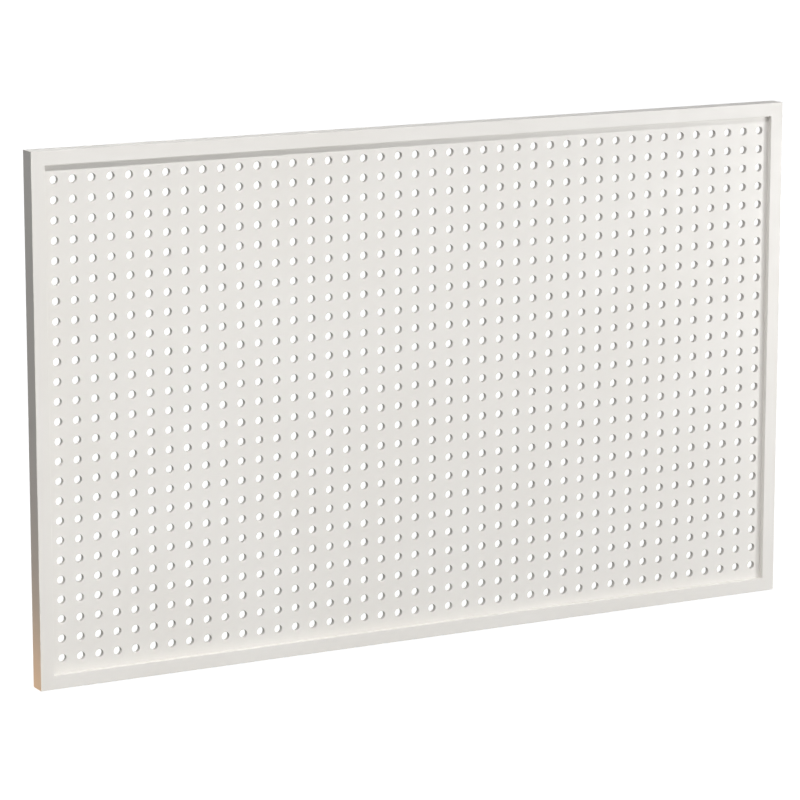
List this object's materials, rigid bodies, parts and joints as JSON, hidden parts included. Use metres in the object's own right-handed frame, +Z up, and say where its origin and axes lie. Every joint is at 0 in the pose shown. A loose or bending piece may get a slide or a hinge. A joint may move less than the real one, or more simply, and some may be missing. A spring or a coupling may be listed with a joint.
{
  "type": "pegboard tool wall",
  "caption": "Framed wall pegboard: a thick white board with an even grid of round peg holes, held in a mitred frame that hangs on wall screws by keyhole plates.",
  "frame": {"origin": "centre of the four keyhole entry holes, which is the centre of the frame's back face, on the plane of that face", "axes": "+X to the right seen from the front, +Y back towards the wall, +Z up; the perforated face looks to -Y"},
  "size_m": [1.09, 0.027, 0.674],
  "materials": {
    "frame_paint": "satin off-white lacquer on wood",
    "panel_paint": "satin off-white lacquer on hardboard",
    "dowel_beech": "bare beech",
    "bracket_zinc": "zinc-plated steel",
    "plate_zinc": "zinc-plated steel",
    "screw_zinc": "zinc-plated steel",
    "pad_rubber": "matt black rubber"
  },
  "bodies": {
    "root": {"top_rail": "frame_paint", "bottom_rail": "frame_paint", "left_stile": "frame_paint", "right_stile": "frame_paint", "perforated_panel": "panel_paint", "mitre_dowels": "dowel_beech", "bracket_screws": "screw_zinc", "plate_screws": "screw_zinc", "wall_pads": "pad_rubber", "corner_bracket_top_left": "bracket_zinc", "corner_bracket_top_right": "bracket_zinc", "corner_bracket_bottom_left": "bracket_zinc", "corner_bracket_bottom_right": "bracket_zinc", "keyhole_plate_top_left": "plate_zinc", "keyhole_plate_top_right": "plate_zinc", "keyhole_plate_bottom_left": "plate_zinc", "keyhole_plate_bottom_right": "plate_zinc"}
  },
  "joints": []
}
